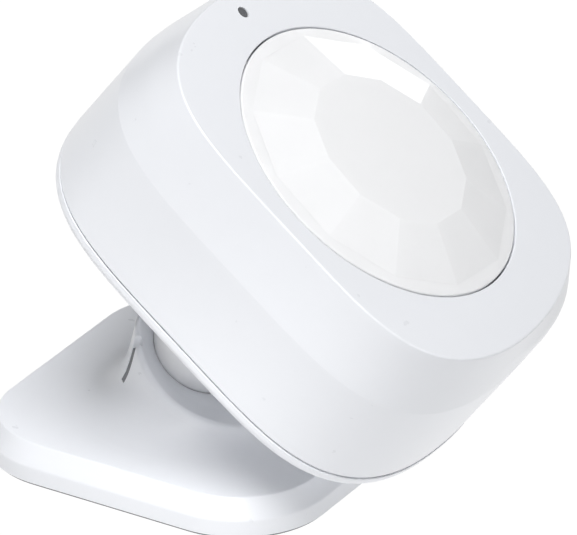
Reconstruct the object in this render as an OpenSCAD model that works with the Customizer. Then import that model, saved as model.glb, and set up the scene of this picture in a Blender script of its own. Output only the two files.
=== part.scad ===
// Desk-top motion sensor: a head with a faceted lens on a ball that rests in a magnetic dish.
// Frame: origin at the middle of the underside of the foot, +Z up, the head faces -Y.

/* [Head] */
// Length of the head along its long axis
head_l = 60.2; // [50:0.1:75]
// Width of the head
head_w = 50.3; // [40:0.1:65]
// Thickness of the head, back plane to face
head_t = 24.75; // [20:0.05:35]
// Height of the back cover's side above the back plane
cover_t = 1.65; // [1:0.05:4]
// Height of the upper sloping band of the housing
band_h = 9.6; // [4:0.1:14]
// How far the face edge lies inside the side wall
band_in = 1.7; // [0.5:0.1:4]
// How far the middle of that band lies inside the side wall
band_mid_in = 0.4; // [0.1:0.05:2]
// Wall thickness of the housing
wall = 1.6; // [1:0.1:3]
// Radius of the lens as seen in its opening
lens_r = 20.3; // [15:0.1:22]
// Height of the flat middle of the lens over the face
lens_up = 2.55; // [1:0.05:5]
// Turn of the lens facets about the lens axis
lens_turn = 10.5; // [0:0.5:30]

/* [Joint] */
// Radius of the steel ball
ball_r = 7; // [5:0.1:10]
// Height of the ball centre over the table
ball_z = 13.4; // [10:0.1:25]
// Distance from the ball centre to the back plane of the head
neck = 12.7; // [9:0.05:20]
// Lean of the head from facing straight up, as drawn
lean = 37.9; // [0:0.1:60]
// Turn of the head about the upright axis, as drawn
turn = 7.2; // [-45:0.1:45]
// Turn of the head about its own face axis, as drawn
roll = -5.2; // [-90:0.1:90]
// Radius of the stud where the cover turns on it
stud_r = 2; // [1.5:0.1:3]

/* [Base] */
// Side of the square base plate at its widest
base_w = 47.5; // [40:0.1:70]
// Corner radius of the base plate
base_r = 12.4; // [4:0.1:20]
// Height of the top of the base plate over the table
base_t = 5.2; // [4:0.1:10]
// Height at which the base plate's edge starts to slope in
base_mid = 2.65; // [1:0.05:4]
// How far the edge of the top face lies inside the widest outline
base_in = 1.5; // [0.5:0.1:4]
// Thickness of the foot pad
foot_t = 0.4; // [0.2:0.1:1]
// Width of the relief slit in the pedestal
slit_w = 1.2; // [0.3:0.02:1.5]
// Turn of the relief slit from straight behind the ball
slit_az = 45.5; // [-60:0.1:60]
// Turn of the open side of the dish from the front
dish_az = 20; // [-40:0.5:40]

/* [Power] */
// Radius of one AAA cell
cell_r = 5.15; // [5:0.05:5.3]
// Distance of each cell from the middle plane
cell_x = 8.2; // [7:0.1:10]
// Height of the cell axis over the back plane
cell_h = 8; // [7:0.1:10]

/* [Hidden] */
$fn = 64;
a0 = head_l / 2;
b0 = head_w / 2;
wall_top = head_t - band_h;
mid_z = head_t - band_h / 2;
led_x = 0.45;
led_y = 24.85;
pcb_b = 14;
pcb_t = 1;
pcb_f = pcb_b + pcb_t;
post_x = 17;
post_y = 21;
btn_x = 18.4;
hill_p = [[18.4, 0], [16, 0.25], [14.1, 0.85], [12.7, 1.75], [11.55, 3], [10.8, 4.3]];
hill_q = [[10.25, 5.85], [9.8, 7.6], [9.4, 9.2], [9.1, 10.8]];

// ---------- shared shapes ----------
function sg(v) = v < 0 ? -1 : 1;
function ox(b, t) = b * sg(sin(t)) * pow(abs(sin(t)), 0.844);
function oy(a, t) = a * sg(cos(t)) * pow(abs(cos(t)), 0.4706);
function outline(a, b) = [for (i = [0:71]) [ox(b, i * 5), oy(a, i * 5)]];

module slab(a, b, z0, z1) {
  translate([0, 0, z0]) linear_extrude(height = z1 - z0) polygon(outline(a, b));
}

// a sloping band between two outlines
module taper(a, b, a1, b1, z0, z1) {
  n = 72;
  low = [for (p = outline(a, b)) [p[0], p[1], z0]];
  top = [for (p = outline(a1, b1)) [p[0], p[1], z1]];
  side_a = [for (i = [0:n - 1]) [i, (i + 1) % n, n + i]];
  side_b = [for (i = [0:n - 1]) [(i + 1) % n, n + (i + 1) % n, n + i]];
  ends = [[for (i = [0:n - 1]) n - 1 - i], [for (i = [0:n - 1]) n + i]];
  polyhedron(points = concat(low, top), faces = concat(side_a, side_b, ends), convexity = 4);
}

module rod(r, z0, z1, x = 0, y = 0) {
  translate([x, y, z0]) cylinder(r = r, h = z1 - z0);
}

module block(x0, x1, y0, y1, z0, z1) {
  translate([x0, y0, z0]) cube([x1 - x0, y1 - y0, z1 - z0]);
}

module in_head() {
  translate([0, 0, ball_z])
    rotate([0, 0, turn])
      rotate([lean, 0, 0])
        rotate([0, 0, roll])
          translate([0, 0, neck])
            children();
}

module at_dish() {
  translate([0, 0, ball_z]) rotate([lean, 0, 0]) children();
}

module rsq(half, r, z0, z1) {
  block(-half, half, -(half - r), half - r, z0, z1);
  block(-(half - r), half - r, -half, half, z0, z1);
  for (i = [-1, 1]) {
    for (j = [-1, 1]) {
      rod(r, z0, z1, i * (half - r), j * (half - r));
    }
  }
}

module at_posts() {
  for (i = [-1, 1]) {
    for (j = [-1, 1]) {
      translate([i * post_x, j * post_y, 0]) children();
    }
  }
}

module at_base_screws() {
  for (i = [-1, 1]) {
    for (j = [-1, 1]) {
      translate([i * 14.5, j * 14.5, 0]) children();
    }
  }
}

// ---------- base ----------
module base_plate() {
  color("#f0f1f4")
  difference() {
    union() {
      rsq(base_w / 2, base_r, foot_t, base_mid);
      hull() {
        rsq(base_w / 2, base_r, base_mid - 0.05, base_mid);
        rsq(base_w / 2 - base_in, base_r - base_in, base_t - 0.05, base_t);
      }
      translate([0, 0, base_t])
        rotate_extrude($fn = 96)
          polygon(concat([[0, -0.5], [18.4, -0.5]], hill_p, hill_q, [[0, 10.8]]));
    }
    // wide dish around the ball, open towards the front
    translate([-8.62 * sin(dish_az), -8.62 * cos(dish_az), ball_z + 11.03]) sphere(r = 18, $fn = 96);
    // close seat for the ball
    translate([0, 0, ball_z]) sphere(r = ball_r + 0.3, $fn = 96);
    // pocket for the grip pad
    at_dish() translate([0, 0, -7.78]) cylinder(r = 3.65, h = 6);
    // magnet pocket
    rod(6.05, 1, 4.5);
    // weight recess
    rsq(19.6, 8.6, foot_t - 1, 1.7);
    // pilot holes for the base screws
    at_base_screws() rod(1, 1, 4.3);
    // relief slit down the flank
    rotate([0, 0, slit_az])
      translate([slit_w / 2, 0, base_t])
        rotate([90, 0, -90])
          linear_extrude(height = slit_w)
              polygon([[-10.4, 3.4], [-9.85, 4.4], [-9.35, 5.85], [-8.9, 7.6],
                       [-8.5, 9.2], [-8.2, 10.6], [-8.1, 11.2], [-10, 11.2], [-12.9, 3.4]]);
  }
}

module dish_pad() {
  color("#5c6066")
  at_dish()
    difference() {
      translate([0, 0, -7.75]) cylinder(r = 3.6, h = 4);
      sphere(r = ball_r + 0.04, $fn = 96);
    }
}

module magnet() {
  color("#9aa0a6")
  difference() {
    rod(6, 1.8, 4.4);
    rod(1, 1.7, 2.4);
  }
}

module base_weight() {
  color("#7f858c")
  difference() {
    rsq(19.4, 8.4, 0.5, 1.65);
    at_base_screws() rod(1.2, 0, 2);
    at_base_screws() translate([0, 0, 0.45]) cylinder(r1 = 2.1, r2 = 1.2, h = 0.8);
  }
}

module base_screws() {
  color("#b9bcc0")
  at_base_screws() {
    difference() {
      union() {
        translate([0, 0, 0.5]) cylinder(r1 = 1.95, r2 = 0.95, h = 0.75);
        rod(0.95, 1.2, 4.1);
      }
      block(-1.3, 1.3, -0.2, 0.2, 0.4, 0.8);
      block(-0.2, 0.2, -1.3, 1.3, 0.4, 0.8);
    }
  }
}

module foot_pad() {
  color("#8f9398")
  rsq(base_w / 2 - 0.5, base_r - 0.5, 0, foot_t);
}

// ---------- ball and stud ----------
module ball() {
  color("#c9ccd1")
  in_head() translate([0, 0, -neck])
    difference() {
      sphere(r = ball_r, $fn = 96);
      rod(stud_r + 0.05, 0, 8);
      rod(4, 6.45, 8);
    }
}

module stud() {
  color("#b4b8bd")
  in_head()
    difference() {
      union() {
        rod(stud_r, -neck + 0.3, -4);
        rod(2.8, -neck + 6.5, -1.05);
        rod(4.4, -1.05, -0.08);
        rod(stud_r, -1, 3);
        rod(1.5, 2.9, 3.7);
        rod(stud_r, 3.65, 4.2);
      }
      block(-5, 5, 3.6, 5, -1.2, 0);
      block(-5, 5, -5, -3.6, -1.2, 0);
    }
}

module friction_washer() {
  color("#e3dcc8")
  in_head()
    difference() {
      rod(3.5, 2.53, 2.97);
      rod(stud_r + 0.06, 2, 4);
    }
}

module stud_clip() {
  color("#8d9298")
  in_head()
    difference() {
      rod(3.2, 3.02, 3.58);
      rod(1.56, 2.5, 4);
      block(-1.2, 1.2, 0, 5, 2.5, 4);
    }
}

// ---------- back cover ----------
module back_cover() {
  color("#eceef1")
  in_head()
    difference() {
      union() {
        taper(a0 - 0.7, b0 - 0.7, a0, b0, 0, 0.75);
        slab(a0, b0, 0.75, cover_t);
        difference() {
          slab(a0 - wall - 0.3, b0 - wall - 0.3, cover_t - 0.1, 4.2);
          slab(a0 - wall - 1.5, b0 - wall - 1.5, cover_t - 0.1, 5);
        }
        rod(4.6, cover_t - 0.1, 2.5);
        rod(3.4, cover_t - 0.1, 5.5, btn_x, 0);
      }
      rod(stud_r + 0.05, -1, 3);
      rod(2.3, -1, 6, btn_x, 0);
      // groove for the seal
      difference() {
        slab(a0 - 0.45, b0 - 0.45, 1.15, 2);
        slab(a0 - 1.35, b0 - 1.35, 1, 2.2);
      }
    }
}

module cover_seal() {
  color("#54585e")
  in_head()
    difference() {
      slab(a0 - 0.5, b0 - 0.5, 1.2, 1.74);
      slab(a0 - 1.3, b0 - 1.3, 1, 2);
    }
}

module pair_button() {
  color("#d9dce1")
  in_head() {
    rod(2.25, 0.1, 5.6, btn_x, 0);
    rod(2.9, 5.53, 6.1, btn_x, 0);
    rod(1.1, 6, 10.3, btn_x, 0);
  }
}

// ---------- front housing and lens ----------
module housing() {
  color("#f1f2f5")
  in_head()
    difference() {
      union() {
        difference() {
          union() {
            slab(a0, b0, cover_t + 0.15, wall_top);
            taper(a0, b0, a0 - band_mid_in, b0 - band_mid_in, wall_top, mid_z);
            taper(a0 - band_mid_in, b0 - band_mid_in, a0 - band_in, b0 - band_in, mid_z, head_t);
          }
          slab(a0 - wall, b0 - wall, 0, wall_top);
          taper(a0 - wall, b0 - wall, a0 - wall - 1.5, b0 - wall - 1.5, wall_top - 0.01, head_t - 1.8);
        }
        at_posts() rod(2.2, pcb_f + 0.02, head_t - 1.7);
      }
      rod(lens_r + 0.22, head_t - 3, head_t + 1);
      rod(0.8, head_t - 3, head_t + 1, led_x, led_y);
      at_posts() rod(1, pcb_f - 1, pcb_f + 5.5);
    }
}

module lens() {
  color("#e9ebef")
  in_head()
    difference() {
      union() {
        rod(lens_r, 22, head_t + 0.25);
        rod(21.4, 22, 22.9);
        translate([0, 0, head_t + 0.2])
          rotate([0, 0, lens_turn])
            cylinder(r1 = 19.05, r2 = 11.4, h = lens_up - 0.2, $fn = 12);
      }
      rod(19.5, 21, 24);
      translate([0, 0, 23.99])
        rotate([0, 0, lens_turn])
          cylinder(r1 = 18.2, r2 = 10.9, h = lens_up - 0.15, $fn = 12);
    }
}

module lens_ring() {
  color("#c9ccd2")
  in_head()
    difference() {
      rod(21.7, 20.6, 21.96);
      rod(19.8, 20, 23);
    }
}

module sensor_window() {
  color("#2c2f34")
  in_head() rod(0.75, head_t - 1.75, head_t - 0.05, led_x, led_y);
}

module light_pipe() {
  color("#dfe6ee")
  in_head() {
    rod(1.15, 16.8, head_t - 1.82, led_x, 25);
    block(-2.8, 2.8, 23.9, 26.2, 15.9, 17);
  }
}

// ---------- electronics ----------
module main_board() {
  color("#2f6b4f")
  in_head()
    difference() {
      slab(a0 - 2.7, b0 - 2.7, pcb_b, pcb_f);
      at_posts() rod(1.1, pcb_b - 1, pcb_f + 1);
      for (k = [0:2]) {
        rotate([0, 0, 90 + k * 120]) rod(0.35, pcb_b - 1, pcb_f + 1, 2.54, 0);
      }
    }
}

module light_sensor() {
  color("#30343a")
  in_head() block(-2.5, -0.7, 24.3, 25.8, pcb_f, 15.75);
}

module status_led() {
  color("#f4f0d8")
  in_head() block(0.7, 2.5, 24.3, 25.8, pcb_f, 15.75);
}

module pir_can() {
  color("#c2c5ca")
  in_head()
    difference() {
      union() {
        rod(4.1, 15.3, 19.5);
        rod(4.6, 15.3, 15.9);
      }
      rod(3.8, 15.9, 19.2);
      block(-2, 2, -1.5, 1.5, 19, 20);
      for (k = [0:2]) {
        rotate([0, 0, 90 + k * 120]) rod(0.28, 15, 16.2, 2.54, 0);
      }
    }
}

module pir_filter() {
  color("#4a4650")
  in_head() block(-2.4, 2.4, -1.9, 1.9, 18.75, 19.18);
}

module pir_element() {
  color("#d8cfae")
  in_head() {
    difference() {
      rod(3.3, 16.9, 17.5);
      block(-1.6, 1.6, -0.15, 0.15, 17.3, 18);
    }
    rod(0.5, 15.92, 17, 0, 0);
  }
}

module pir_leads() {
  color("#cdb98a")
  in_head()
    for (k = [0:2]) {
      rotate([0, 0, 90 + k * 120]) rod(0.23, 12.9 + 0.2, 16.85, 2.54, 0);
    }
}

module pir_holder() {
  color("#f0efe9")
  in_head()
    difference() {
      rod(7, pcb_f, 17.6);
      rod(4.65, pcb_f - 1, 18);
      block(-0.8, 0.8, 4, 8, 16.2, 18);
    }
}

module radio_board() {
  color("#25507a")
  in_head() block(-8, 8, -22.6, -11.6, pcb_f, 15.8);
}

module radio_shield() {
  color("#b8bcc2")
  in_head()
    difference() {
      block(-6.6, 6.6, -19.4, -12.2, 15.8, 17.6);
      block(-6.3, 6.3, -19.1, -12.5, 15.7, 17.3);
    }
}

module control_chip() {
  color("#26282c")
  in_head() block(-3, 3, 9.4, 15.4, pcb_f, 15.9);
}

module capacitors() {
  color("#b79a6b")
  in_head() {
    block(-8, -6.4, 12, 12.9, pcb_f, 15.8);
    block(-8, -6.4, 14.5, 15.4, pcb_f, 15.8);
    block(6.4, 8, 12, 12.9, pcb_f, 15.8);
    block(6.4, 8, 14.5, 15.4, pcb_f, 15.8);
    block(11.4, 13, -6, -5.1, pcb_f, 15.8);
    block(11.4, 13, 5.1, 6, pcb_f, 15.8);
  }
}

module tact_switch() {
  color("#3a3d42")
  in_head()
    difference() {
      block(btn_x - 2.25, btn_x + 2.25, -2.25, 2.25, 10.8, pcb_b);
      rod(1.2, 10, 12.9, btn_x, 0);
    }
}

module switch_plunger() {
  color("#c94f43")
  in_head() rod(1.13, 10.33, 12.5, btn_x, 0);
}

module board_screws() {
  color("#aeb2b8")
  in_head()
    at_posts()
      difference() {
        union() {
          rod(1.75, 11.2, 12.58);
          rod(0.95, 12.5, 20);
        }
        block(-1.2, 1.2, -0.22, 0.22, 11, 11.8);
        block(-0.22, 0.22, -1.2, 1.2, 11, 11.8);
      }
}

// ---------- power ----------
module battery_tray() {
  color("#3f434a")
  in_head()
    difference() {
      union() {
        block(-14.6, 14.6, -25, 25, 5.6, 13.95);
        at_posts() rod(2.3, 12.6, 13.95);
        for (j = [-1, 1]) {
          block(-post_x, post_x, j * post_y - 1.6, j * post_y + 1.6, 12.6, 13.95);
        }
      }
      at_posts() rod(1.1, 12, 15);
      for (i = [-1, 1]) {
        translate([i * cell_x, 23.3, cell_h]) rotate([90, 0, 0]) cylinder(r = cell_r + 0.2, h = 46.6);
        block(i * cell_x - 5.35, i * cell_x + 5.35, -23.3, 23.3, 5, cell_h);
        block(i * cell_x - 4.3, i * cell_x + 4.3, -24.2, 24.2, 5, 12.2);
      }
      rod(4.6, 5, 6.4);
      for (k = [0:2]) {
        rotate([0, 0, 90 + k * 120]) rod(0.6, 12.4, 15, 2.54, 0);
      }
    }
}

module one_cell() {
  translate([0, 0, cell_h]) rotate([-90, 0, 0]) {
    translate([0, 0, -20.9]) cylinder(r = cell_r, h = 43.4);
    translate([0, 0, 22.4]) cylinder(r = 1.9, h = 1.2);
  }
}

module cell_a() {
  color("#4e7f5d")
  in_head() translate([cell_x, 0, 0]) one_cell();
}

module cell_b() {
  color("#4e7f5d")
  in_head() translate([-cell_x, 0, 0]) rotate([0, 0, 180]) one_cell();
}

module contact_plates() {
  color("#c8cbd0")
  in_head()
    for (i = [-1, 1]) {
      for (j = [-1, 1]) {
        translate([i * cell_x, j * 23.85, 0]) block(-3.9, 3.9, -0.2, 0.2, 5.8, 12);
      }
    }
}

module one_spring() {
  for (k = [0:4]) {
    translate([0, 0, 0.33 + k * 0.5])
      rotate_extrude($fn = 48) translate([3 - k * 0.4, 0]) circle(r = 0.33, $fn = 24);
  }
}

module contact_springs() {
  color("#d3c9a4")
  in_head() {
    translate([cell_x, -23.64, cell_h]) rotate([-90, 0, 0]) one_spring();
    translate([-cell_x, 23.64, cell_h]) rotate([90, 0, 0]) one_spring();
  }
}

module cell_cushion() {
  color("#6d727a")
  in_head() {
    block(-11, -5.4, 8, 16, cover_t, 2.75);
    block(5.4, 11, 8, 16, cover_t, 2.75);
    block(-11, -5.4, -16, -8, cover_t, 2.75);
    block(5.4, 11, -16, -8, cover_t, 2.75);
  }
}

base_plate();
dish_pad();
magnet();
base_weight();
base_screws();
foot_pad();
ball();
stud();
friction_washer();
stud_clip();
back_cover();
cover_seal();
pair_button();
housing();
lens();
lens_ring();
sensor_window();
light_pipe();
main_board();
light_sensor();
status_led();
pir_can();
pir_filter();
pir_element();
pir_leads();
pir_holder();
radio_board();
radio_shield();
control_chip();
capacitors();
tact_switch();
switch_plunger();
board_screws();
battery_tray();
cell_a();
cell_b();
contact_plates();
contact_springs();
cell_cushion();
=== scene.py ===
import math

import bmesh
import bpy
import numpy as np
from mathutils import Matrix, Vector


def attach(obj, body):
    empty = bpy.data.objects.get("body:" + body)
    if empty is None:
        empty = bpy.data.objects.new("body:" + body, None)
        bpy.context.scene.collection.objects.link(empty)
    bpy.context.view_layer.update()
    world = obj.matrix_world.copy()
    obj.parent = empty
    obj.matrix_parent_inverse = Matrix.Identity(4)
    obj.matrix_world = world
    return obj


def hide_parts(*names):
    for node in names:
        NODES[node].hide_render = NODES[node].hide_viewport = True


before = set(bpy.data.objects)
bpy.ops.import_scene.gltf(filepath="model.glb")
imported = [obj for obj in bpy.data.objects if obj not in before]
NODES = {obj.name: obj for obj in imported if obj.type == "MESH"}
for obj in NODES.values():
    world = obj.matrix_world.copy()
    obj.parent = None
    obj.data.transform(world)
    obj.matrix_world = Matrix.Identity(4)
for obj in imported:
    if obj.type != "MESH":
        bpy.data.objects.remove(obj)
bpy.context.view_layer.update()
scene = bpy.context.scene

# ---------------------------------------------------------------- sizes, in millimetres and degrees
MM = 0.001
N = 320  # points round each outline
BALL_Z, BALL_R = 13.4, 7.0  # height of the ball's centre, and its radius
NECK = 12.7  # from the ball's centre to the back of the head
LEAN, TURN, ROLL = 37.9, 7.2, -5.2  # how the head is held at rest
A0, B0 = 30.1, 25.15  # half length and half width of the head
HEAD_T = 24.75  # from the back of the head to its face
WALL, WALL_TOP = 1.6, 15.15  # thickness of the shell, and top of its straight wall
BAND_Z = 20.2  # middle of the sloping band
SHELL_Z = 1.87  # lower edge of the housing
ROOF = 1.8  # thickness of the face
LENS_R = 20.3
FLAT_R, FACET_R = 11.4, 19.05  # corners of the lens's flat middle, and of its facets
FACETS, FACET_TURN = 12, 11.5
DOT_X, DOT_Y = 0.45, 24.85  # window at the top of the face
POST_X, POST_Y = 17, 21  # screw posts
BUTTON_X, BUTTON_R = 18.4, 2.3  # bore of the pairing button
STUD_BORE_R = 2.05
COVER_IN = 0.62  # how far the cover's flat back stays inside its outline
CELL_X, CELL_Z = 8.2, 8  # axes of the two cells
BASE_TOP, BASE_HALF, BASE_CORNER = 5.2, 23.75, 12.4
FOOT_HALF, FOOT_CORNER = 23.25, 11.9
DISH_R, DISH_AZ = 18.0, 20
DISH_OUT, DISH_UP = -8.62, 11.03  # dish centre from the ball's centre
SEAT_R = BALL_R + 0.05
SLIT_AZ, SLIT_HALF = 45.5, 0.6

# head frame -> row frame
HEAD = (
    Matrix.Translation((0, 0, BALL_Z * MM))
    @ Matrix.Rotation(math.radians(TURN), 4, "Z")
    @ Matrix.Rotation(math.radians(LEAN), 4, "X")
    @ Matrix.Rotation(math.radians(ROLL), 4, "Z")
    @ Matrix.Translation((0, 0, NECK * MM))
    @ Matrix.Scale(MM, 4)
)
ROW = Matrix.Scale(MM, 4)


# ---------------------------------------------------------------- outlines as closed loops of N points
def resample(pts):
    """The closed outline through pts, as N evenly spaced points."""
    pts = np.asarray(pts, float)
    seg = np.linalg.norm(np.roll(pts, -1, 0) - pts, axis=1)
    s = np.concatenate([[0.0], np.cumsum(seg)])
    closed = np.vstack([pts, pts[:1]])
    t = np.linspace(0, s[-1], N, endpoint=False)
    return np.stack([np.interp(t, s, closed[:, k]) for k in (0, 1)], 1)


def squircle(a, b, cy=0.0, corner=0.0, mid=-61.0, wide=14.0):
    """Outline with half length a along y and half width b along x, moved by cy along y.

    corner pulls it in (or out, when negative) around mid degrees, over a width of wide degrees.
    """
    t = np.linspace(0, 2 * np.pi, 5761)[:-1]
    x = b * np.sign(np.sin(t)) * np.abs(np.sin(t)) ** 0.844
    y = a * np.sign(np.cos(t)) * np.abs(np.cos(t)) ** 0.4706
    p = resample(np.stack([x, y], 1))
    if corner:
        ang = np.degrees(np.arctan2(p[:, 1], p[:, 0]))
        d = (ang - mid) / wide
        pull = corner * np.exp(-0.5 * d * d)
        r = np.hypot(p[:, 0], p[:, 1])
        p = p * ((r - pull) / r)[:, None]
    p[:, 1] += cy
    return p


def round_square(half, r):
    """Square outline with round corners, starting in the middle of its +y side."""
    q = [(0.0, half)]
    for sx, sy, a0 in ((1, 1, 90), (1, -1, 0), (-1, -1, -90), (-1, 1, 180)):
        for k in np.linspace(0, 90, 60):
            a = math.radians(a0 - k)
            q.append((sx * (half - r) + r * math.cos(a), sy * (half - r) + r * math.sin(a)))
    return resample(q)


def circle(r, cx=0.0, cy=0.0, n=N):
    t = np.linspace(0, 2 * np.pi, n, endpoint=False)
    return np.stack([cx + r * np.sin(t), cy + r * np.cos(t)], 1)


def at(loop, z):
    """An outline lifted to height z."""
    return np.column_stack([loop, np.full(len(loop), float(z))])


# ---------------------------------------------------------------- lofted solids
def rounded(loops, radii, seg=5, hold=0.05, closed=False):
    """Rounds the corners of a path of loops.

    Each loop with a radius becomes an arc, with a holding loop on both sides when hold is set.
    """
    out = []
    n = len(loops)
    for i, (p, r) in enumerate(zip(loops, radii)):
        if not r or (not closed and i in (0, n - 1)):
            out.append(p)
            continue
        a, c = loops[i - 1], loops[(i + 1) % n]
        u, v = a - p, c - p
        lu = np.linalg.norm(u, axis=1, keepdims=True)
        lv = np.linalg.norm(v, axis=1, keepdims=True)
        u, v = u / lu, v / lv
        cosang = np.clip((u * v).sum(1, keepdims=True), -1, 1)
        half = np.arccos(cosang) / 2
        d = r / np.tan(half)
        d = np.minimum(d, 0.45 * np.minimum(lu, lv))
        rr = d * np.tan(half)
        b = u + v
        b = b / np.linalg.norm(b, axis=1, keepdims=True)
        centre = p + b * (rr / np.sin(half))
        t1, t2 = p + u * d, p + v * d
        if hold:
            out.append(t1 + u * np.minimum(hold, lu * 0.05))
        e1, e2 = t1 - centre, t2 - centre
        turn = np.pi - 2 * half
        s = np.maximum(np.sin(turn), 1e-9)
        for k in range(seg + 1):
            f = k / seg
            out.append(centre + (np.sin((1 - f) * turn) * e1 + np.sin(f * turn) * e2) / s)
        if hold:
            out.append(t2 + v * np.minimum(hold, lv * 0.05))
    return out


def loft(name, loops, frame_m=HEAD, closed=False, cap0=False, cap1=False, mat=None, body=None, sharp=None):
    """Skin over a path of loops: closed joins the last to the first, cap0 and cap1 close its ends."""
    n = len(loops[0])
    co = np.vstack(loops)
    faces = []
    m = len(loops)
    for j in range(m if closed else m - 1):
        a, b = j * n, ((j + 1) % m) * n
        for i in range(n):
            k = (i + 1) % n
            faces.append((a + i, a + k, b + k, b + i))
    if cap0:
        co = np.vstack([co, loops[0].mean(0)])
        c = len(co) - 1
        faces += [(c, (i + 1) % n, i) for i in range(n)]
    if cap1:
        co = np.vstack([co, loops[-1].mean(0)])
        c = len(co) - 1
        base = (m - 1) * n
        faces += [(c, base + i, base + (i + 1) % n) for i in range(n)]
    return solid(name, co, faces, frame_m, mat, body, sharp)


def solid(name, co, faces, frame_m, mat=None, body=None, sharp=None):
    """Object from points and faces, with its normals outwards, riding body if one is given."""
    me = bpy.data.meshes.new(name)
    me.from_pydata([tuple(p) for p in co], [], [tuple(f) for f in faces])
    bm = bmesh.new()
    bm.from_mesh(me)
    bmesh.ops.recalc_face_normals(bm, faces=bm.faces)
    bm.to_mesh(me)
    bm.free()
    me.transform(frame_m)
    me.update()
    ob = bpy.data.objects.new(name, me)
    scene.collection.objects.link(ob)
    me.polygons.foreach_set("use_smooth", [True] * len(me.polygons))
    if sharp is not None:
        me.set_sharp_from_angle(angle=math.radians(sharp))
    if mat:
        me.materials.append(mat)
    if body:
        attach(ob, body)
    return ob


def cut(ob, cutters, sharp):
    """Boolean difference, applied at once. The cutters are removed."""
    for c in cutters:
        m = ob.modifiers.new("cut", "BOOLEAN")
        m.operation = "DIFFERENCE"
        m.solver = "EXACT"
        m.object = c
    bpy.context.view_layer.update()
    dg = bpy.context.evaluated_depsgraph_get()
    me = bpy.data.meshes.new_from_object(ob.evaluated_get(dg))
    ob.modifiers.clear()
    old = ob.data
    ob.data = me
    me.name = old.name
    bpy.data.meshes.remove(old)
    for c in cutters:
        bpy.data.objects.remove(c)
    me.polygons.foreach_set("use_smooth", [True] * len(me.polygons))
    me.set_sharp_from_angle(angle=math.radians(sharp))


def rod_cutter(r, z0, z1, x=0.0, y=0.0, frame_m=HEAD):
    c = circle(r, x, y, 96)
    return loft("cutter", [at(c, z0), at(c, z1)], frame_m, cap0=True, cap1=True)


def lathe(name, profile, radii=None, n=128, x=0.0, y=0.0, mat=None, body=None, sharp=None, closed=False):
    """Turned piece on an axis of the head. profile holds (radius, z) points from one end to the other."""
    loops = [at(circle(max(r, 1e-4), x, y, n), z) for r, z in profile]
    if radii:
        loops = rounded(loops, radii, 4, 0.04, closed)
    return loft(name, loops, HEAD, closed, not closed, not closed, mat, body, sharp)


# ---------------------------------------------------------------- materials, all procedural
def new_mat(name):
    m = bpy.data.materials.new(name)
    m.use_nodes = True
    nt = m.node_tree
    for n in list(nt.nodes):
        nt.nodes.remove(n)
    out = nt.nodes.new("ShaderNodeOutputMaterial")
    bsdf = nt.nodes.new("ShaderNodeBsdfPrincipled")
    nt.links.new(bsdf.outputs[0], out.inputs[0])
    return m, nt, bsdf


def grain(nt, bsdf, base, spread, scale, rough, bump=0.0, bump_scale=1.0):
    """Base colour and roughness that drift a little over the surface, and a fine grain."""
    tc = nt.nodes.new("ShaderNodeTexCoord")
    no = nt.nodes.new("ShaderNodeTexNoise")
    no.inputs["Scale"].default_value = scale
    no.inputs["Detail"].default_value = 3.0
    nt.links.new(tc.outputs["Object"], no.inputs["Vector"])
    mix = nt.nodes.new("ShaderNodeMix")
    mix.data_type = "RGBA"
    lo = [max(0.0, c - spread) for c in base]
    hi = [min(1.0, c + spread) for c in base]
    mix.inputs[6].default_value = (*lo, 1)
    mix.inputs[7].default_value = (*hi, 1)
    nt.links.new(no.outputs["Fac"], mix.inputs[0])
    nt.links.new(mix.outputs[2], bsdf.inputs["Base Color"])
    mr = nt.nodes.new("ShaderNodeMapRange")
    mr.inputs["To Min"].default_value = rough[0]
    mr.inputs["To Max"].default_value = rough[1]
    nt.links.new(no.outputs["Fac"], mr.inputs["Value"])
    nt.links.new(mr.outputs[0], bsdf.inputs["Roughness"])
    if bump:
        fine = nt.nodes.new("ShaderNodeTexNoise")
        fine.inputs["Scale"].default_value = bump_scale
        fine.inputs["Detail"].default_value = 2.0
        nt.links.new(tc.outputs["Object"], fine.inputs["Vector"])
        bp = nt.nodes.new("ShaderNodeBump")
        bp.inputs["Strength"].default_value = bump
        bp.inputs["Distance"].default_value = 0.00005
        nt.links.new(fine.outputs["Fac"], bp.inputs["Height"])
        nt.links.new(bp.outputs[0], bsdf.inputs["Normal"])


def plain(name, base, spread, scale, rough, metal=0.0, bump=0.0, bump_scale=1.0, spec=0.5, coat=0.0,
          trans=0.0, ior=1.5, sss=0.0, sss_r=0.001):
    """One-colour material. sss_r is how far light spreads inside it, in metres."""
    m, nt, b = new_mat(name)
    grain(nt, b, base, spread, scale, rough, bump, bump_scale)
    b.inputs["Metallic"].default_value = metal
    b.inputs["IOR"].default_value = ior
    b.inputs["Specular IOR Level"].default_value = spec
    if coat:
        b.inputs["Coat Weight"].default_value = coat
        b.inputs["Coat Roughness"].default_value = 0.08
    if trans:
        b.inputs["Transmission Weight"].default_value = trans
    if sss:
        b.inputs["Subsurface Weight"].default_value = sss
        b.inputs["Subsurface Radius"].default_value = (sss_r, sss_r, sss_r)
        b.inputs["Subsurface Scale"].default_value = 1.0
    return m


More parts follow.
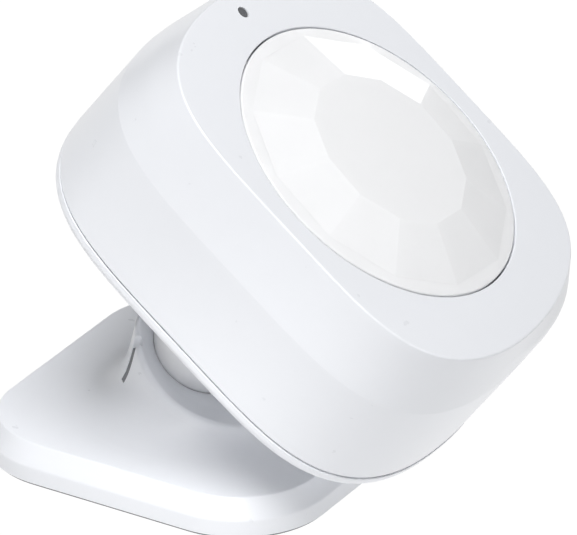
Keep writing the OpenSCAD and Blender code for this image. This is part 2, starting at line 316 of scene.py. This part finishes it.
WHITE = plain("shell_white", (0.83, 0.845, 0.88), 0.006, 350.0, (0.26, 0.31), bump=0.05, bump_scale=9000.0,
              spec=0.55)
LENS = plain("lens_milky", (0.915, 0.922, 0.94), 0.005, 500.0, (0.32, 0.38), bump=0.03, bump_scale=7000.0,
             spec=0.4, sss=0.4, sss_r=0.002)
BALLM = plain("ball_gloss", (0.80, 0.805, 0.82), 0.01, 800.0, (0.20, 0.26), spec=0.6, coat=0.5)
STEEL = plain("steel_turned", (0.62, 0.63, 0.65), 0.03, 2500.0, (0.25, 0.35), metal=1.0)
PLATED = plain("plated", (0.72, 0.73, 0.74), 0.03, 1800.0, (0.18, 0.28), metal=1.0)
MAGNET = plain("magnet_nickel", (0.60, 0.61, 0.63), 0.03, 1500.0, (0.2, 0.3), metal=1.0)
RUBBER = plain("rubber_grey", (0.17, 0.175, 0.185), 0.02, 2200.0, (0.75, 0.9), bump=0.2, bump_scale=6000.0)
# grey foot pad, darker than its own grey: painted shade for the shadow under the plate's bottom edge
FOOT_AND_SHADE = plain("foot_pad_grey_and_shade", (0.22, 0.225, 0.235), 0.02, 1800.0, (0.7, 0.85), bump=0.2, bump_scale=6000.0)
TINT = plain("window_tint", (0.13, 0.133, 0.14), 0.01, 900.0, (0.25, 0.3), spec=0.3)
NYLON = plain("nylon", (0.80, 0.79, 0.74), 0.015, 900.0, (0.45, 0.55))
DARK = plain("dark_plastic", (0.045, 0.048, 0.055), 0.01, 1200.0, (0.5, 0.62), bump=0.15, bump_scale=5000.0)
CHIP = plain("chip_black", (0.03, 0.03, 0.034), 0.008, 2500.0, (0.55, 0.7), bump=0.2, bump_scale=9000.0)
CERAMIC = plain("ceramic_tan", (0.55, 0.46, 0.30), 0.03, 2500.0, (0.5, 0.65))
GOLD = plain("gold_pins", (0.80, 0.62, 0.30), 0.03, 2500.0, (0.22, 0.32), metal=1.0)
CLEAR = plain("clear_pipe", (0.90, 0.93, 0.96), 0.01, 800.0, (0.08, 0.12), trans=0.85, ior=1.49)
LEDM = plain("led_body", (0.90, 0.86, 0.62), 0.02, 1800.0, (0.25, 0.35))
RED = plain("plunger_red", (0.55, 0.07, 0.05), 0.02, 1500.0, (0.4, 0.5))
FOAM = plain("cushion_foam", (0.20, 0.21, 0.23), 0.03, 2500.0, (0.85, 0.95), bump=0.4, bump_scale=5000.0)
# painted shade: the colour of the sheet laid on the slit's floor
SHADE = plain("slit_shade", (0.24, 0.245, 0.26), 0.01, 900.0, (0.8, 0.9))
GAP = plain("gap_shadow", (0.16, 0.165, 0.175), 0.01, 900.0, (0.8, 0.9))


# ---------------------------------------------------------------- front housing
def housing():
    wall = squircle(A0, B0, cy=0.35)
    low = squircle(A0, B0, cy=0.1)
    mid = squircle(A0 - 0.92, B0 - 0.75, cy=0.15, corner=-1.0, wide=14.0)
    face = squircle(A0 - 1.85, B0 - 1.47, cy=-0.25, corner=1.25, mid=-62.0, wide=17.0)
    inner = squircle(A0 - WALL, B0 - WALL)
    ceil = squircle(A0 - WALL - 1.5, B0 - WALL - 1.5)
    hole = circle(LENS_R + 0.22)
    loops = [at(low, SHELL_Z), at(wall, WALL_TOP), at(mid, BAND_Z), at(face, HEAD_T), at(hole, HEAD_T),
             at(hole, HEAD_T - ROOF), at(ceil, HEAD_T - ROOF), at(inner, WALL_TOP), at(inner, SHELL_Z)]
    radii = [0.12, 0.3, 9.0, 0.3, 0.1, 0.0, 0.4, 1.0, 0.1]
    path = rounded(loops, radii, 6, 0.06, closed=True)
    ob = loft("head_shell", path, closed=True, mat=WHITE, sharp=50)
    cut(ob, [rod_cutter(0.8, HEAD_T - 4, HEAD_T + 2, DOT_X, DOT_Y)], 50)
    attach(ob, "front")
    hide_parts("housing")
    for sx in (-1, 1):
        for sy in (-1, 1):
            p = lathe(f"screw_post_{'l' if sx < 0 else 'r'}{'b' if sy < 0 else 't'}",
                      [(1.0, 15.05), (2.2, 15.05), (2.35, HEAD_T - 1.7), (1.0, HEAD_T - 1.7)],
                      [0.1, 0.15, 0, 0], n=64, x=sx * POST_X, y=sy * POST_Y, mat=WHITE, body="front",
                      sharp=40, closed=True)


# ---------------------------------------------------------------- lens
def lens():
    zt, zl = HEAD_T + 2.55, HEAD_T + 0.28
    turn = math.radians(FACET_TURN)
    ang = [turn + math.radians(30 * k) for k in range(FACETS)]
    bm = bmesh.new()
    tv = [bm.verts.new((FLAT_R * math.cos(a), FLAT_R * math.sin(a), zt)) for a in ang]
    lv = [bm.verts.new((FACET_R * math.cos(a), FACET_R * math.sin(a), zl)) for a in ang]
    bm.faces.new(tv)
    for i in range(FACETS):
        j = (i + 1) % FACETS
        bm.faces.new((lv[i], lv[j], tv[j], tv[i]))
    edges = [e for e in bm.edges if len(e.link_faces) == 2]
    bmesh.ops.bevel(bm, geom=edges, offset=0.09, segments=2, profile=0.6, affect="EDGES")
    me = bpy.data.meshes.new("lens_facets")
    bm.to_mesh(me)
    bm.free()
    # rim: from the lower twelve-sided edge out to the round side, then down and back inside
    rim_in = []
    s = math.radians(15)
    for th in np.linspace(0, 2 * np.pi, N, endpoint=False):
        a = math.pi / 2 - th
        k = (a - turn) % (2 * s) - s
        r = FACET_R * math.cos(s) / math.cos(k)
        rim_in.append((r * math.cos(a), r * math.sin(a)))
    rim_in = np.array(rim_in)
    outer, flange, inner = circle(LENS_R), circle(21.4), circle(19.5)
    loops = [at(rim_in * 0.9995, zl + 0.002), at(outer, HEAD_T + 0.02), at(outer, 22.9), at(flange, 22.9),
             at(flange, 22.0), at(inner, 22.0), at(inner, 24.0), at(circle(10.9), 26.5)]
    path = rounded(loops, [0, 0.22, 0, 0.1, 0.1, 0.1, 0, 0], 4, 0.04)
    rim = loft("lens_rim", path, cap1=True, mat=LENS, sharp=30)
    me.transform(HEAD)
    fac = bpy.data.objects.new("lens_facets", me)
    me.materials.append(LENS)
    scene.collection.objects.link(fac)
    # facets and rim become one object
    bm = bmesh.new()
    bm.from_mesh(rim.data)
    bm.from_mesh(me)
    bm.to_mesh(rim.data)
    bm.free()
    bpy.data.objects.remove(fac)
    rim.data.set_sharp_from_angle(angle=math.radians(6))
    rim.name = "lens_body"
    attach(rim, "front")
    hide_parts("lens")


# ---------------------------------------------------------------- back cover
def back_cover():
    outer = squircle(A0, B0)
    flat = squircle(A0 - COVER_IN, B0 - COVER_IN)
    lip_o = squircle(A0 - WALL - 0.3, B0 - WALL - 0.3)
    lip_i = squircle(A0 - WALL - 1.5, B0 - WALL - 1.5)
    loops = [at(flat * 0.93, 0.0), at(flat, 0.0), at(outer, 0.72), at(outer, 1.65), at(lip_o, 1.65),
             at(lip_o, 4.2), at(lip_i, 4.2), at(lip_i, 1.65)]
    # the second loop is the corner between the flat back and the sloping edge
    full = rounded(loops, [0, 0.6, 0.8, 0.12, 0.0, 0.2, 0.2, 0.2], 5, 0.04)
    ob = loft("rear_cover", full, cap0=True, cap1=True, mat=WHITE, sharp=50)
    cut(ob, [rod_cutter(STUD_BORE_R, -2, 3), rod_cutter(BUTTON_R, -2, 3, BUTTON_X, 0)], 50)
    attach(ob, "rear")
    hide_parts("back_cover")
    boss = lathe("cover_boss", [(STUD_BORE_R, 1.6), (4.6, 1.6), (4.6, 2.5), (STUD_BORE_R, 2.5)],
                 [0, 0, 0.15, 0.1], mat=WHITE, body="rear", sharp=40, closed=True)
    sleeve = lathe("button_sleeve", [(BUTTON_R, 1.6), (3.4, 1.6), (3.4, 5.5), (BUTTON_R, 5.5)],
                   [0, 0, 0.15, 0.1], x=BUTTON_X, mat=WHITE, body="rear", sharp=40, closed=True)


def seal():
    outer, inner = squircle(A0 - 0.5, B0 - 0.5), squircle(A0 - 1.3, B0 - 1.3)
    loops = [at(inner, 1.3), at(outer, 1.3), at(outer, 1.76), at(inner, 1.76)]
    path = rounded(loops, [0.08, 0.08, 0.15, 0.15], 3, 0.03, closed=True)
    ob = loft("cover_seal_ring", path, closed=True, mat=GAP, body="rear", sharp=40)
    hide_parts("cover_seal")


# ---------------------------------------------------------------- base plate with pedestal
# pedestal flank, (radius, height over the plate)
HILL = [(18.4, 0.0), (16.0, 0.22), (14.1, 0.82), (12.7, 1.75), (11.55, 3.0), (10.8, 4.3), (10.25, 5.85),
        (9.8, 7.6), (9.4, 9.2), (9.1, 10.8)]
# side view of the slit's cutter, and the edge of its floor where the painted shade lies, (distance, height
# over the plate)
SLIT = [(-10.4, 3.4), (-9.85, 4.4), (-9.35, 5.85), (-8.9, 7.6), (-8.5, 9.2), (-8.2, 10.6), (-8.1, 11.6),
        (-10.0, 11.6), (-12.9, 3.4)]
SLIT_FLOOR = [(-10.4, 3.42), (-9.85, 4.4), (-9.35, 5.85), (-8.9, 7.6)]


def catmull(points, per):
    """Smooth open curve through points."""
    p = [np.array(q, float) for q in points]
    p = [2 * p[0] - p[1]] + p + [2 * p[-1] - p[-2]]
    out = []
    for k in range(1, len(p) - 2):
        a, b, c, d = p[k - 1], p[k], p[k + 1], p[k + 2]
        for j in range(per):
            t = j / per
            bend = (2 * a - 5 * b + 4 * c - d) * t * t
            out.append(0.5 * ((2 * b) + (c - a) * t + bend + (3 * b - a - 3 * c + d) * t ** 3))
    out.append(p[-2])
    return np.array(out)


def slit_prism(name, profile, half, mat=None, body=None, sharp=None):
    """Upright prism of a side view, laid across the slit's plane."""
    ang = math.radians(SLIT_AZ)
    across = Vector((math.cos(ang), math.sin(ang), 0))
    out = Vector((-math.sin(ang), math.cos(ang), 0))
    co = [tuple(out * (-px) + across * side + Vector((0, 0, pz + BASE_TOP)))
          for side in (-half, half) for px, pz in profile]
    k = len(profile)
    faces = [tuple(range(k)), tuple(range(2 * k - 1, k - 1, -1))]
    faces += [(i, i + k, (i + 1) % k + k, (i + 1) % k) for i in range(k)]
    return solid(name, co, faces, ROW, mat, body, sharp)


def pedestal():
    """Loops up the pedestal's flank, over its rim, and down the dish and seat to the bottom."""
    ball = np.array([0, 0, BALL_Z])
    az = math.radians(DISH_AZ)
    dish_c = ball + np.array([DISH_OUT * math.sin(az), DISH_OUT * math.cos(az), DISH_UP])
    hill = catmull(HILL, 10)
    hill[:, 1] += BASE_TOP
    place = np.arange(len(hill))
    th = np.linspace(0, 2 * np.pi, N, endpoint=False)
    dirs = np.stack([np.sin(th), np.cos(th)], 1)

    def dish_z(xy):
        """Height of the dish or of the seat, whichever cuts deeper."""
        d = np.hypot(xy[:, 0] - dish_c[0], xy[:, 1] - dish_c[1])
        zd = dish_c[2] - np.sqrt(np.maximum(DISH_R ** 2 - d ** 2, 1e-6))
        r = np.hypot(xy[:, 0], xy[:, 1])
        zs = np.where(r < SEAT_R, ball[2] - np.sqrt(np.maximum(SEAT_R ** 2 - r ** 2, 1e-6)), 1e3)
        zd = np.where(d < DISH_R, zd, 1e3)
        return np.minimum(zd, zs)

    def bowl_z(xy):
        """Height of the dish alone."""
        return dish_c[2] - np.sqrt(DISH_R ** 2 - (xy[:, 0] - dish_c[0]) ** 2 - (xy[:, 1] - dish_c[1]) ** 2)

    # where the flank meets the dish on every spoke, as a place along the flank
    fine = np.linspace(0, len(hill) - 1, 1500)
    hr = np.interp(fine, place, hill[:, 0])
    hz = np.interp(fine, place, hill[:, 1])
    rim_at = []
    for spoke in dirs:
        inside = hz > dish_z(spoke[None] * hr[:, None])
        rim_at.append(fine[int(np.argmax(inside)) if inside.any() else len(fine) - 1])
    rim_at = np.array(rim_at)
    # smooth the rim a little
    for _ in range(6):
        rim_at = (np.roll(rim_at, 1) + 2 * rim_at + np.roll(rim_at, -1)) / 4
    steps = 40
    flank = []
    for j in range(steps + 1):
        f = rim_at * (j / steps)
        r = np.interp(f, place, hill[:, 0])
        flank.append(np.column_stack([dirs * r[:, None], np.interp(f, place, hill[:, 1])]))
    rim = flank[-1]

    # where the dish meets the round seat under the ball on every spoke, as a radius
    rr = np.linspace(0.5, SEAT_R - 1e-4, 1200)
    seat_z = ball[2] - np.sqrt(SEAT_R ** 2 - rr ** 2)
    edge = []
    for spoke in dirs:
        above = seat_z > bowl_z(spoke[None] * rr[:, None])
        edge.append(rr[int(np.argmax(above)) if above.any() else len(rr) - 1])
    edge = np.array(edge)
    rim_r = np.hypot(rim[:, 0], rim[:, 1])
    inner = []
    for j in range(1, 15):
        r = rim_r + (edge - rim_r) * (j / 14)
        xy = dirs * r[:, None]
        inner.append(np.column_stack([xy, np.minimum(bowl_z(xy), rim[:, 2])]))
    phi = np.arcsin(edge / SEAT_R)
    for j in range(1, 17):
        a = phi * (1 - j / 16.5)
        inner.append(np.column_stack([dirs * (SEAT_R * np.sin(a))[:, None], ball[2] - SEAT_R * np.cos(a)]))
    tip = np.column_stack([dirs * 0.02, np.full(N, ball[2] - SEAT_R)])
    rim_path = rounded([flank[-9], rim, inner[7]], [0, 2.2, 0], 12, 0.0)
    return flank[:-9] + rim_path + inner[8:] + [tip]


def base_plate():
    outline = round_square(BASE_HALF, BASE_CORNER)
    under = [at(round_square(BASE_HALF - 4, BASE_CORNER - 3), 0.4), at(outline, 0.4), at(outline, 2.65),
             at(round_square(BASE_HALF - 1.5, BASE_CORNER - 1.5), BASE_TOP), at(circle(HILL[0][0]), BASE_TOP)]
    body = rounded(under, [0, 0.15, 0.8, 0.3, 0], 6, 0.05)
    ob = loft("base_body", body[:-1] + pedestal(), ROW, cap0=True, cap1=True, mat=WHITE, sharp=60)
    slit = slit_prism("cutter", SLIT, SLIT_HALF)
    tilt = ROW @ Matrix.Translation((0, 0, BALL_Z)) @ Matrix.Rotation(math.radians(LEAN), 4, "X")
    pad_pocket = rod_cutter(3.65, -7.78, -5.5, frame_m=tilt)
    magnet_pocket = rod_cutter(6.05, -1, 4.5, frame_m=ROW)
    cut(ob, [slit, pad_pocket, magnet_pocket], 40)
    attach(ob, "base")
    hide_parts("base_plate")
    # painted shade: a dark sheet on the slit's floor, standing in for the shadow deep in the slit
    ring = [(x + 0.03, z) for x, z in SLIT_FLOOR] + [(x - 0.78, z) for x, z in reversed(SLIT_FLOOR)]
    painted_slit_shade = slit_prism("slit_painted_shade", ring, SLIT_HALF - 0.01, SHADE, "base", 30)
    # the foot ring carries painted shade along the plate's bottom edge
    pad = round_square(FOOT_HALF, FOOT_CORNER)
    foot = loft("foot_ring", [at(pad, 0.0), at(pad, 0.42)], ROW, cap0=True, cap1=True, mat=FOOT_AND_SHADE, body="base",
                sharp=40)
    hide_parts("foot_pad")


# ---------------------------------------------------------------- ball and stud
def ball_stud():
    # the ball is round up to its flat, 6.45 mm over its middle, where the stud goes in
    prof = []
    for a in np.linspace(-math.pi / 2, math.asin(6.45 / BALL_R), 72):
        prof.append((BALL_R * math.cos(a), -NECK + BALL_R * math.sin(a)))
    prof[0] = (0.02, prof[0][1])
    prof.append((prof[-1][0] - 0.1, prof[-1][1] + 0.02))
    prof.append((2.0, prof[-1][1]))
    prof.append((2.0, prof[-1][1] - 5.5))
    ob = lathe("ball_body", prof, n=160, mat=BALLM, body="ball_stud", sharp=35)
    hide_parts("ball")
    st = lathe("stud_body",
               [(0.02, -NECK + 0.4), (1.93, -NECK + 0.4), (1.93, -5.6), (2.8, -5.58), (2.8, -1.05),
                (4.4, -1.05), (4.4, -0.08), (2.0, -0.08), (2.0, 3.0), (1.5, 3.0), (1.5, 3.65), (2.0, 3.65),
                (2.0, 4.2), (0.02, 4.2)],
               [0, 0.2, 0, 0, 0.25, 0.15, 0.15, 0, 0, 0, 0, 0, 0.2, 0], n=96, mat=STEEL,
               body="ball_stud", sharp=40)
    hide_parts("stud")


def window():
    prof = [(0.02, HEAD_T - 1.7), (0.72, HEAD_T - 1.7), (0.72, HEAD_T - 0.06), (0.02, HEAD_T - 0.06)]
    win = lathe("window_dot", prof, [0, 0, 0.1, 0], n=64, x=DOT_X, y=DOT_Y, mat=TINT, body="front", sharp=40)
    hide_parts("sensor_window")


housing()
lens()
back_cover()
seal()
base_plate()
ball_stud()
window()


# ---------------------------------------------------------------- cells and their springs
CELL_PROFILE = [(0.02, -20.9), (4.0, -20.9), (4.05, -20.75), (4.45, -20.7), (4.5, -20.85), (5.05, -20.85),
                (5.15, -20.7), (5.15, -9.5), (5.15, -9.3), (5.15, 17.0), (5.15, 17.2), (5.15, 22.2),
                (5.0, 22.45), (4.4, 22.45), (4.3, 22.3), (2.3, 22.3), (2.2, 22.45), (1.9, 22.5),
                (1.9, 23.45), (1.75, 23.6), (0.02, 23.6)]


def cell(name, node, frame_m):
    """AAA cell: bare metal ends, a green sleeve, and pale bands round it."""
    n = 96
    loops = [at(circle(r, n=n), z) for r, z in CELL_PROFILE]
    ob = loft(name, loops, frame_m, cap0=True, cap1=True, body="front", sharp=25)
    me = ob.data
    for m in (CAN, CELL, CELL_BAND):
        me.materials.append(m)
    can, sleeve, band = range(3)
    idx = []
    for (r0, z0), (r1, z1) in zip(CELL_PROFILE, CELL_PROFILE[1:]):
        zmid = (z0 + z1) / 2
        if max(r0, r1) < 4.6:
            k = can
        else:
            k = band if zmid > 17.1 or -9.5 < zmid < -9.3 else sleeve
        idx += [k] * n
    idx += [0] * (len(me.polygons) - len(idx))
    me.polygons.foreach_set("material_index", idx)
    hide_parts(node)


def coil(name, frame_m):
    """Tapered contact spring, with a flat first turn and a flat last one."""
    r0, r1, wire, turns, length = 3.0, 1.4, 0.3, 4.6, 2.2
    steps, ring = 190, 12
    path = []
    for i in range(steps + 1):
        f = i / steps
        a = 2 * math.pi * turns * f
        r = r0 + (r1 - r0) * f
        path.append((r * math.cos(a), r * math.sin(a), 0.33 + length * min(1.0, max(0.0, (f - 0.12) / 0.8))))
    path = np.array(path)
    tan = np.gradient(path, axis=0)
    tan /= np.linalg.norm(tan, axis=1, keepdims=True)
    side = np.column_stack([path[:, 0], path[:, 1], np.zeros(len(path))])
    side -= tan * (side * tan).sum(1, keepdims=True)
    side /= np.linalg.norm(side, axis=1, keepdims=True)
    upv = np.cross(tan, side)
    loops = []
    for p, a, b in zip(path, side, upv):
        t = np.linspace(0, 2 * np.pi, ring, endpoint=False)[:, None]
        loops.append(p + wire * (np.cos(t) * a + np.sin(t) * b))
    return loft(name, loops, frame_m, cap0=True, cap1=True, mat=PLATED, body="front", sharp=60)


def in_head(x, y, deg):
    """Frame on a cell's axis, turned by deg about the head's cross axis."""
    return HEAD @ Matrix.Translation((x, y, CELL_Z)) @ Matrix.Rotation(math.radians(deg), 4, "X")


CELL = plain("cell_sleeve", (0.06, 0.22, 0.13), 0.015, 700.0, (0.25, 0.35), bump=0.05, bump_scale=3000.0)
CELL_BAND = plain("cell_band", (0.62, 0.60, 0.52), 0.02, 700.0, (0.25, 0.35), metal=0.6)
CAN = plain("cell_can", (0.66, 0.67, 0.68), 0.03, 1500.0, (0.22, 0.32), metal=1.0)
cell("cell_right", "cell_a", in_head(CELL_X, 0, -90))
cell("cell_left", "cell_b", in_head(-CELL_X, 0, -90) @ Matrix.Rotation(math.pi, 4, "X"))
c1 = coil("spring_right", in_head(CELL_X, -23.64, -90))
c2 = coil("spring_left", in_head(-CELL_X, 23.64, 90))
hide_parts("contact_springs")
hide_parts("contact_springs")


def circuit(name, base, line):
    """Coated board: thin raised tracks over a dark ground, from a brick pattern laid in the board's plane."""
    m, nt, b = new_mat(name)
    tc = nt.nodes.new("ShaderNodeTexCoord")
    mp = nt.nodes.new("ShaderNodeMapping")
    mp.vector_type = "TEXTURE"
    e = HEAD.to_3x3().normalized().to_euler()
    mp.inputs["Rotation"].default_value = (e.x, e.y, e.z)
    nt.links.new(tc.outputs["Object"], mp.inputs["Vector"])
    br = nt.nodes.new("ShaderNodeTexBrick")
    br.offset = 0.37
    br.inputs["Scale"].default_value = 260.0
    br.inputs["Mortar Size"].default_value = 0.035
    br.inputs["Brick Width"].default_value = 1.1
    br.inputs["Row Height"].default_value = 0.42
    br.inputs["Color1"].default_value = (*base, 1)
    br.inputs["Color2"].default_value = (*[c * 1.25 for c in base], 1)
    br.inputs["Mortar"].default_value = (*line, 1)
    nt.links.new(mp.outputs[0], br.inputs["Vector"])
    nt.links.new(br.outputs["Color"], b.inputs["Base Color"])
    no = nt.nodes.new("ShaderNodeTexNoise")
    no.inputs["Scale"].default_value = 900.0
    nt.links.new(tc.outputs["Object"], no.inputs["Vector"])
    mr = nt.nodes.new("ShaderNodeMapRange")
    mr.inputs["To Min"].default_value = 0.28
    mr.inputs["To Max"].default_value = 0.40
    nt.links.new(no.outputs["Fac"], mr.inputs["Value"])
    nt.links.new(mr.outputs[0], b.inputs["Roughness"])
    bp = nt.nodes.new("ShaderNodeBump")
    bp.inputs["Strength"].default_value = 0.25
    bp.inputs["Distance"].default_value = 0.00004
    nt.links.new(br.outputs["Fac"], bp.inputs["Height"])
    nt.links.new(bp.outputs[0], b.inputs["Normal"])
    return m


BOARD = circuit("board_green", (0.025, 0.13, 0.08), (0.06, 0.24, 0.14))
MODULE = circuit("module_blue", (0.025, 0.08, 0.18), (0.06, 0.16, 0.30))
CAD_LOOK = {
    "dish_pad": RUBBER, "magnet": MAGNET, "base_weight": STEEL, "base_screws": PLATED,
    "friction_washer": NYLON, "stud_clip": STEEL, "pair_button": WHITE, "lens_ring": NYLON,
    "light_pipe": CLEAR, "main_board": BOARD, "light_sensor": CHIP, "status_led": LEDM, "pir_can": PLATED,
    "pir_filter": TINT, "pir_element": CERAMIC, "pir_leads": GOLD, "pir_holder": NYLON,
    "radio_board": MODULE, "radio_shield": PLATED, "control_chip": CHIP, "capacitors": CERAMIC,
    "tact_switch": DARK, "switch_plunger": RED, "board_screws": PLATED, "battery_tray": DARK,
    "contact_plates": PLATED, "cell_cushion": FOAM,
}
for name, mat in CAD_LOOK.items():
    ob = NODES[name]
    ob.data.materials.clear()
    ob.data.materials.append(mat)
    if name not in ("dish_pad", "pir_leads"):
        bv = ob.modifiers.new("edge", "BEVEL")
        bv.width = 0.00008
        bv.segments = 2
        bv.limit_method = "ANGLE"
        bv.angle_limit = math.radians(40)


# ---------------------------------------------------------------- floor, light and camera
def stage():
    """Plain floor that glows white, a hair under the part."""
    fm, nt, b = new_mat("floor_pale")
    grain(nt, b, (0.03, 0.03, 0.03), 0.004, 6.0, (0.85, 0.9))
    b.inputs["Specular IOR Level"].default_value = 0.0
    b.inputs["Emission Color"].default_value = (1, 1, 1, 1)
    b.inputs["Emission Strength"].default_value = 1.0
    me = bpy.data.meshes.new("floor")
    s = 6.0
    me.from_pydata([(-s, -s, 0), (s, -s, 0), (s, s, 0), (-s, s, 0)], [], [(0, 1, 2, 3)])
    fl = bpy.data.objects.new("floor", me)
    fl.location.z = -0.00001
    scene.collection.objects.link(fl)
    me.materials.append(fm)


def aimed(name, data, loc, direction):
    """Puts a lamp or a camera at loc, looking along direction."""
    ob = bpy.data.objects.new(name, data)
    ob.location = loc
    ob.rotation_mode = "QUATERNION"
    ob.rotation_quaternion = direction.to_track_quat("-Z", "Y")
    scene.collection.objects.link(ob)
    return ob


def light(name, loc, size, power):
    """Round soft lamp that points at the object."""
    ld = bpy.data.lights.new(name, "AREA")
    ld.shape = "DISK"
    ld.size = size
    ld.energy = power
    aimed(name, ld, loc, CENTRE - loc)


def spot(name, loc, target, angle, soft, power):
    """Narrow soft-edged lamp that points at target."""
    ld = bpy.data.lights.new(name, "SPOT")
    ld.spot_size = math.radians(angle)
    ld.spot_blend = 1.0
    ld.shadow_soft_size = soft
    ld.energy = power
    aimed(name, ld, loc, Vector(target) - loc)


def around(az, el, d):
    """A place d metres from the object, az degrees to the right of LAMP_AZ and el degrees up."""
    a = math.radians(LAMP_AZ + az)
    e = math.radians(el)
    return CENTRE + Vector((math.sin(a) * math.cos(e), -math.cos(a) * math.cos(e), math.sin(e))) * d


stage()

# camera: its direction from the object in degrees, and the view's width and middle in millimetres
AZ, EL = math.radians(-58.45), math.radians(27.6)
VIEW_W, AIM_RIGHT, AIM_UP = 72.125, 9.8625, 8.7125
back = Vector((math.sin(AZ) * math.cos(EL), -math.cos(AZ) * math.cos(EL), math.sin(EL)))
right = Vector((math.cos(AZ), math.sin(AZ), 0))
up = back.cross(right)
aim = Vector((0, 0, BALL_Z * MM)) + right * (AIM_RIGHT * MM) + up * (AIM_UP * MM)
cd = bpy.data.cameras.new("camera")
cd.sensor_width = 36.0
cd.lens = 600.0
cd.clip_start, cd.clip_end = 0.05, 20.0
scene.camera = aimed("camera", cd, aim + back * (VIEW_W * MM * cd.lens / cd.sensor_width), -back)

LAMP_AZ = -58.7  # within half a degree of the camera's side
CENTRE = Vector((0, -0.01, 0.03))
light("key_soft", around(-5, 69, 0.8), 0.6, 7.7)
light("front_fill", around(10, 30, 0.8), 0.4, 0.3)
light("facet_edge", around(157, 11, 0.8), 0.16, 0.7)
spot("under_left", around(-28, 22, 0.6), (-0.010, -0.002, 0.004), 5.0, 0.025, 5.0)
spot("under_front", around(-3, 26, 0.6), (-0.006, -0.014, 0.002), 3.6, 0.02, 3.5)

w = bpy.data.worlds.new("soft_white")
scene.world = w
w.use_nodes = True
bg = w.node_tree.nodes["Background"]
bg.inputs["Color"].default_value = (1, 1, 1, 1)
bg.inputs["Strength"].default_value = 0.02
scene.view_settings.view_transform = "Standard"
scene.view_settings.look = "None"
scene.view_settings.exposure = 0.0
scene.view_settings.gamma = 1.0
